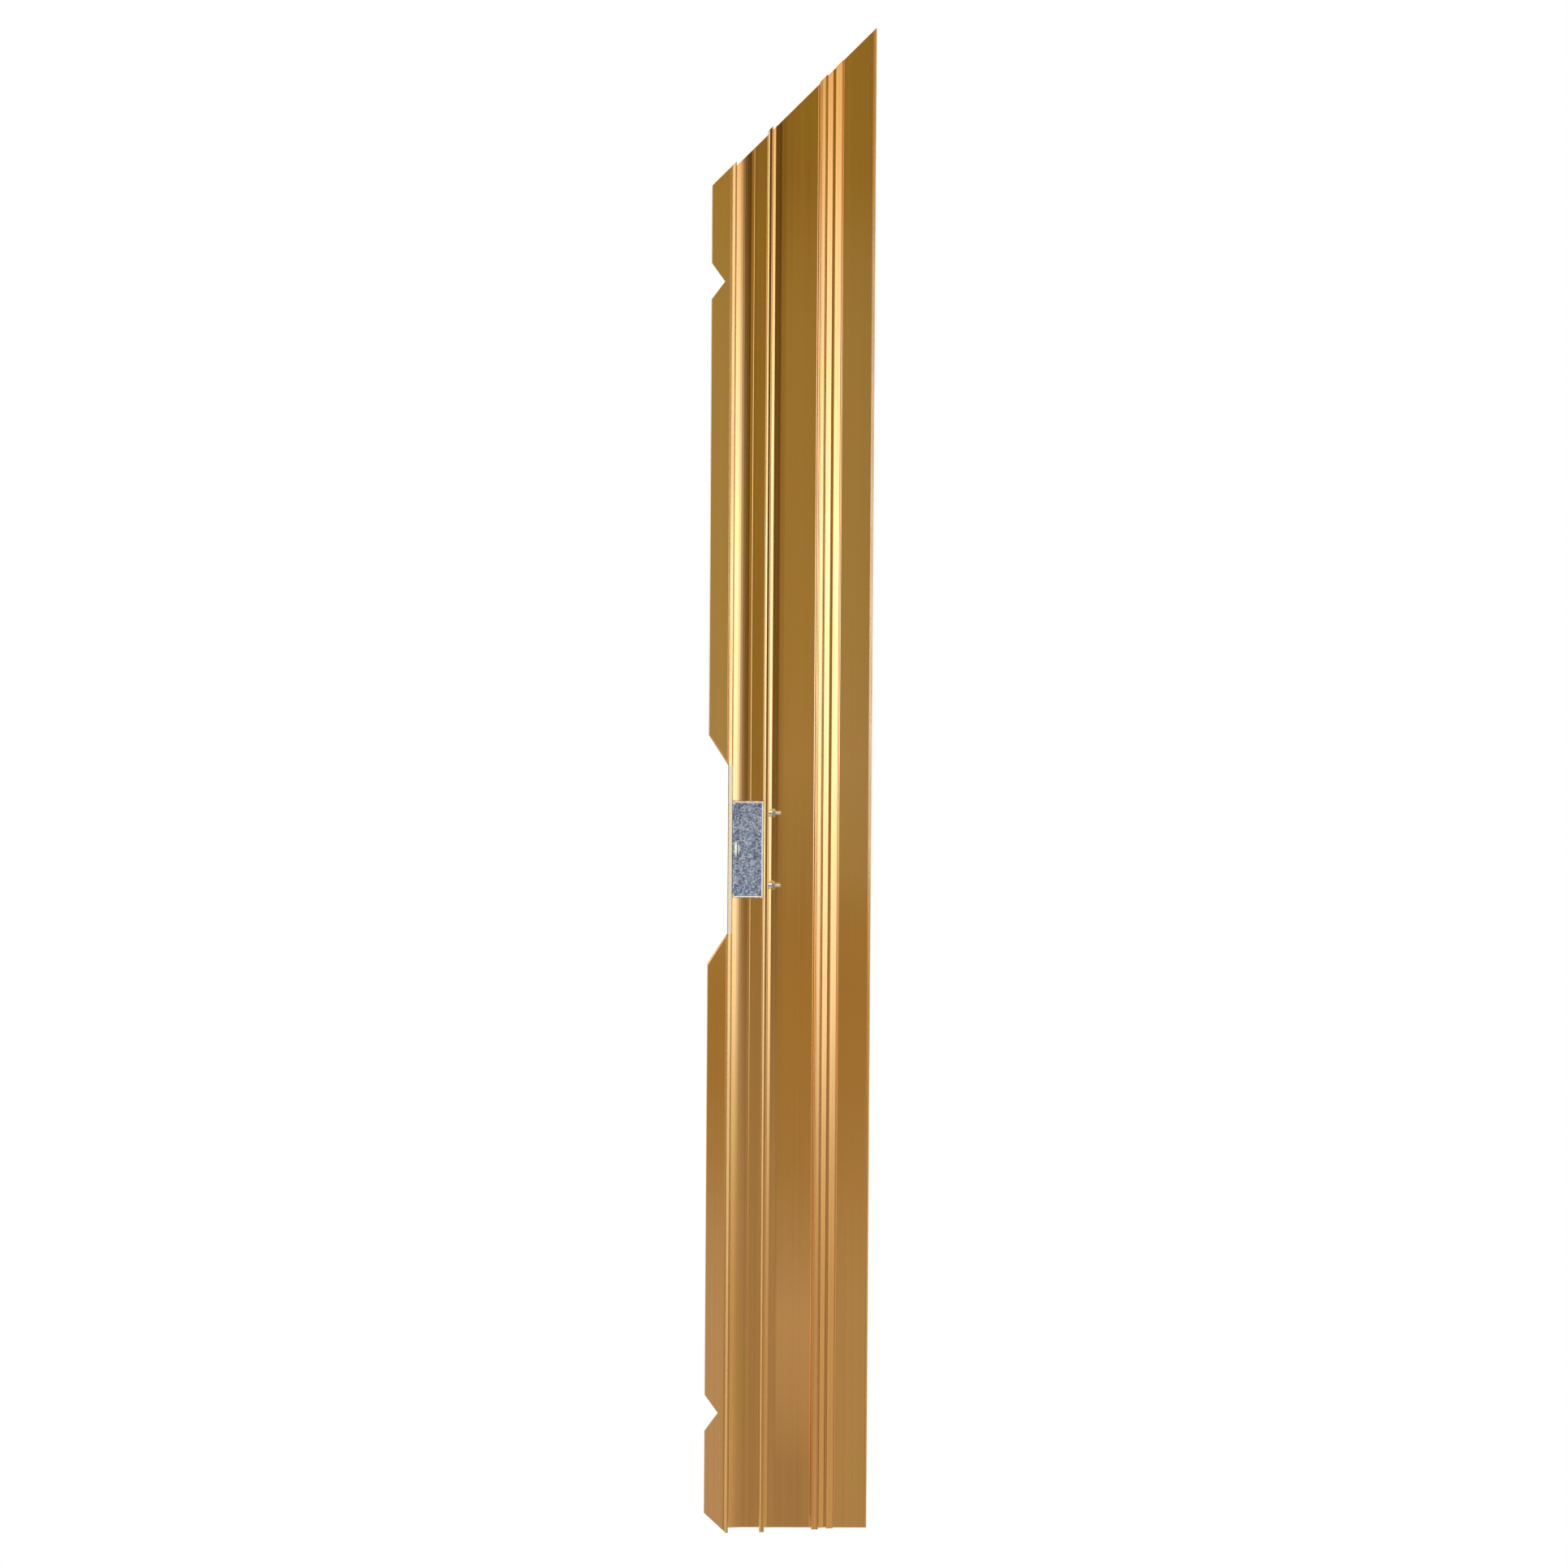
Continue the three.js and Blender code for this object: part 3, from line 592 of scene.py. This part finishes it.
# ------------------------------------------------------------------ fasteners
def threaded(name, z, seg=36):
    """Countersunk screw: turned head with a cross recess, plain shank and a real helical thread to the tip."""
    head, pitch, per = 70.8, 1.0, 8
    prof = [(head, 0.0), (head, 2.6), (head, 5.2), (head + 0.08, 5.42), (head + 0.3, 5.5), (head + 0.55, 5.32), (head + 2.7, 3.12), (head + 3.0, 2.95), (80.0, 2.95)]
    stations = [(u, r, False) for u, r in prof]
    u = 80.4
    while u < 96.6 - 1e-6:
        stations.append((u, 2.95, True)); u += pitch / per
    stations.append((96.6, 2.0, False)); stations.append((96.6, 0.0, False))
    verts, faces, rings = [], [], []
    for u, r, th in stations:
        if r < 1e-6:
            rings.append([len(verts)]); verts.append(W(u, AXIS_V, z)); continue
        ids = []
        for i in range(seg):
            t = i / seg
            rr = r
            if th:
                w = (u / pitch - t) % 1.0
                tri = 1 - abs(2 * w - 1)               # 0 at the root, 1 at the crest
                depth = 0.61 * min(1.0, (u - 80.4) / 1.5)
                rr = 2.95 - depth * (1 - min(1.0, max(0.0, tri * 1.3 - 0.12)))
                rr = min(rr, 2.95, 2.05 + (96.6 - u) * 0.85)
            ids.append(len(verts)); verts.append(W(u, AXIS_V + rr * math.cos(2 * math.pi * t), z + rr * math.sin(2 * math.pi * t)))
        rings.append(ids)
    for a, b in zip(rings, rings[1:]):
        for i in range(seg):
            j = (i + 1) % seg
            if len(a) == 1:
                faces.append((a[0], b[i], b[j]))
            elif len(b) == 1:
                faces.append((a[i], b[0], a[j]))
            else:
                faces.append((a[i], b[i], b[j], a[j]))
    ob = build(name, verts, faces)
    cutters = []
    for a, b in ((2.75, 0.6), (0.6, 2.75)):
        vs, fs = [], []
        for uu, k in ((head - 0.5, 1.12), (head + 1.3, 0.6)):
            for sa, sb in ((-1, -1), (1, -1), (1, 1), (-1, 1)):
                vs.append(W(uu, AXIS_V + sb * b * k, z + sa * a * k))
        fs = [(0, 1, 2, 3), (4, 5, 6, 7), (0, 1, 5, 4), (1, 2, 6, 5), (2, 3, 7, 6), (3, 0, 4, 7)]
        cutters.append(build("c", vs, fs))
    cut(ob, cutters)
    ob.data.materials.append(FAST)
    return finish_mesh(ob, 35, False)


def hexnut(name, z, u0=85.2, u1=88.8, af=10.0, seg=96):
    ap, rc = af / 2, af / 2 / math.cos(math.pi / 6)
    steps = [u0, u0 + 0.06, u0 + 0.15, u0 + 0.25, u0 + 0.35, u0 + 0.46, u0 + 0.6, u0 + 0.9]
    us = steps + [u0 + u1 - s for s in reversed(steps)]
    verts, faces, rings = [], [], []

    def ring(u, fn):
        ids = []
        for i in range(seg):
            t = 2 * math.pi * i / seg
            r = fn(t)
            ids.append(len(verts)); verts.append(W(u, AXIS_V + r * math.cos(t), z + r * math.sin(t)))
        rings.append(ids)

    def hexr(t):
        # corners up and down (along z, at t = 90 degrees)
        k = (t - math.pi / 2 + math.pi / 6) % (math.pi / 3) - math.pi / 6
        return ap / math.cos(math.pi / 6 - abs(k)) if True else ap

    for u in us:
        e = min(u - u0, u1 - u)
        lim = rc - 0.85 + e * 1.9
        ring(u, lambda t: min(hexr(t), lim) - (0.05 if e < 0.03 else 0))
    ring(u1, lambda t: 3.45)
    ring(u1 - 0.45, lambda t: 3.05)
    ring(u0 + 0.45, lambda t: 3.05)
    ring(u0, lambda t: 3.45)
    for a, b in list(zip(rings, rings[1:])) + [(rings[-1], rings[0])]:
        for i in range(seg):
            j = (i + 1) % seg
            faces.append((a[i], b[i], b[j], a[j]))
    ob = build(name, verts, faces)
    ob.data.materials.append(NUTS)
    return finish_mesh(ob, 24, False)


for tag, z in (("upper", SCREW_Z), ("lower", -SCREW_Z)):
    o = threaded("keeper_screw_%s_skin" % tag, z)
    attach(o, "root"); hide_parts("keeper_screw_" + tag)
    o = lathe("spacer_sleeve_%s_skin" % tag, rounded([(73.5, 3.2, 0.2), (85.0, 3.2, 0.2), (85.0, 4.0, 0.35), (73.5, 4.0, 0.3)]), z, 64, True)
    o.data.materials.append(FAST); finish_mesh(o, 35)
    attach(o, "root"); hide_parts("spacer_sleeve_" + tag)
    o = hexnut("keeper_nut_%s_skin" % tag, z)
    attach(o, "root"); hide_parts("keeper_nut_" + tag)

dome, groove = [], (38.4, 39.6)
for i in range(25):
    a = (i / 24) * (math.pi / 2)
    u, r = 35.3 + 6.9 * math.sin(a), 0.0 if i == 24 else 10.45 * math.cos(a) ** 0.92
    if groove[0] - 0.15 < u < groove[1] + 0.15:
        continue
    if dome and dome[-1][0] < groove[0] < u:
        r0, r1 = (10.45 * (1 - ((g - 35.3) / 6.9) ** 2) ** 0.46 for g in groove)
        dome += [(groove[0], r0), (groove[0] + 0.1, r0 - 1.3), (groove[1] - 0.1, r0 - 1.4), (groove[1], r1)]
    dome.append((u, r))
rivet = lathe("keeper_rivet_skin",
              [(29.4, 0), (29.4, 7.7), (29.5, 7.9), (29.7, 7.75), (31.3, 5.9), (35.0, 5.9), (35.0, 9.9), (35.1, 10.25)] + dome, 0, 72)
rivet.data.materials.append(RIVET)
rivet.data.materials.append(DARK)
# painted shade: the faces inside the groove take the near-black groove material
for p in rivet.data.polygons:
    u, r = p.center.x * 1000 + U0, math.hypot(-p.center.y * 1000 - AXIS_V, p.center.z * 1000)
    p.material_index = 1 if groove[0] - 0.02 < u < groove[1] + 0.02 and r > 4 else 0
finish_mesh(rivet, 40, False)
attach(rivet, "root"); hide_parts("keeper_rivet")

# ------------------------------------------------------------------ stage
fm, nt, b = material("pale_floor")
nt.nodes.remove(b)
em = nt.nodes.new("ShaderNodeEmission")
em.inputs[0].default_value = (1, 1, 1, 1)
em.inputs[1].default_value = 1.0
nt.links.new(em.outputs[0], [n for n in nt.nodes if n.type == "OUTPUT_MATERIAL"][0].inputs[0])
floor = build("floor", [(-6, -0.002, -0.9105), (6, -0.002, -0.9105), (6, 8, -0.9105), (-6, 8, -0.9105)], [(0, 1, 2, 3)], False)
floor.data.materials.append(fm)

# ------------------------------------------------------------------ light
scene = bpy.context.scene
scene.view_settings.view_transform = "Standard"
scene.view_settings.look = "None"
world = bpy.data.worlds.new("studio")
scene.world = world
world.use_nodes = True
nt = world.node_tree
for n in list(nt.nodes):
    nt.nodes.remove(n)
out = nt.nodes.new("ShaderNodeOutputWorld")


def link(a, b):
    nt.links.new(a, b)


def maths(op, *args):
    n = nt.nodes.new("ShaderNodeMath")
    n.operation = op
    for k, v in enumerate(args):
        if isinstance(v, (int, float)):
            n.inputs[k].default_value = v
        else:
            link(v, n.inputs[k])
    return n.outputs[0]


# a pale studio: a wide soft box on each side, a darker gap beside the one on the right, and a pale sweep below
tc = nt.nodes.new("ShaderNodeTexCoord")
xyz = nt.nodes.new("ShaderNodeSeparateXYZ")
link(tc.outputs["Generated"], xyz.inputs[0])
turn = maths("ARCTAN2", xyz.outputs[0], maths("MULTIPLY", xyz.outputs[1], -1.0))
turn = maths("ADD", maths("DIVIDE", turn, 2 * math.pi), 0.5)
rise = maths("DIVIDE", maths("ARCSINE", xyz.outputs[2]), math.pi / 180)


def deg(d):
    return 0.5 + d / 360.0


BASE, GAP, BOX, BACK = (0.375, 0.325, 0.11), (0.11, 0.07, 0.0), (2.2, 2.7, 3.6), (0.62, 0.60, 0.52)
DIM = (0.20, 0.18, 0.14)


def walls(base, gap, box, dim, back):
    return ramp(nt, turn, [(deg(-180), back), (deg(-145), back), (deg(-125), dim), (deg(-66), dim), (deg(-54), box), (deg(-20), box),
                           (deg(-12), base), (deg(3.4), base), (deg(5.5), gap), (deg(13.5), gap),
                           (deg(18), box), (deg(50), box), (deg(62), dim), (deg(125), dim), (deg(145), back), (deg(180), back)])


side = walls(BASE, GAP, BOX, DIM, BACK)
upper = walls((0.34, 0.285, 0.08), (0.07, 0.04, 0.0), (1.0, 0.86, 0.55), DIM, BACK)      # the soft boxes fade out above
plain = ramp(nt, turn, [(deg(-180), (0.8, 0.8, 0.85)), (deg(-60), (0.60, 0.58, 0.56)), (deg(-22), (0.60, 0.56, 0.50)), (deg(-5), (0.45, 0.40, 0.32)), (deg(13), (0.49, 0.44, 0.36)), (deg(20), (0.66, 0.60, 0.48)), (deg(60), (0.6, 0.58, 0.56)), (deg(180), (0.8, 0.8, 0.85))])
low = remap(nt, rise, 0.0, 1.0, -9.0, 0.5)
high = remap(nt, rise, 1.0, 0.0, 4.0, 13.0)
bg_col = mixc(nt, low, plain, mixc(nt, high, upper, side))
bg_col = mixc(nt, remap(nt, rise, 0.0, 1.0, 24.0, 34.0), bg_col, (1.7, 1.7, 1.65))      # ceiling panel
bg_col = mixc(nt, remap(nt, rise, 1.0, 0.0, -40.0, -26.0), bg_col, (0.85, 0.80, 0.70))   # pale floor
bg = nt.nodes.new("ShaderNodeBackground")
link(bg_col, bg.inputs[0])
bg.inputs[1].default_value = 1.0
bg_cam = node(nt, "ShaderNodeBackground", Color=(1, 1, 1, 1), Strength=1.0)
lp = nt.nodes.new("ShaderNodeLightPath")
ms = nt.nodes.new("ShaderNodeMixShader")
link(lp.outputs["Is Camera Ray"], ms.inputs[0])
link(bg.outputs[0], ms.inputs[1])
link(bg_cam.outputs[0], ms.inputs[2])
link(ms.outputs[0], out.inputs[0])

# ------------------------------------------------------------------ camera
cam_data = bpy.data.cameras.new("camera")
cam_data.sensor_fit, cam_data.sensor_width = "HORIZONTAL", 36.0
cam_data.lens = 36.0 * 3608.30 / 1932
cam_data.clip_end = 100
cam = bpy.data.objects.new("camera", cam_data)
yaw, pitch, roll = -0.01208, -0.01245, -0.00676
R = Matrix.Rotation(yaw, 3, "Z") @ Matrix.Rotation(pitch, 3, "X") @ Matrix.Rotation(roll, 3, "Y")
B = Matrix(((1, 0, 0), (0, 0, -1), (0, 1, 0)))
cam.matrix_world = Matrix.Translation((-0.05528, -3.90378, 0.13533)) @ (R @ B).to_4x4()
scene.collection.objects.link(cam)
scene.camera = cam
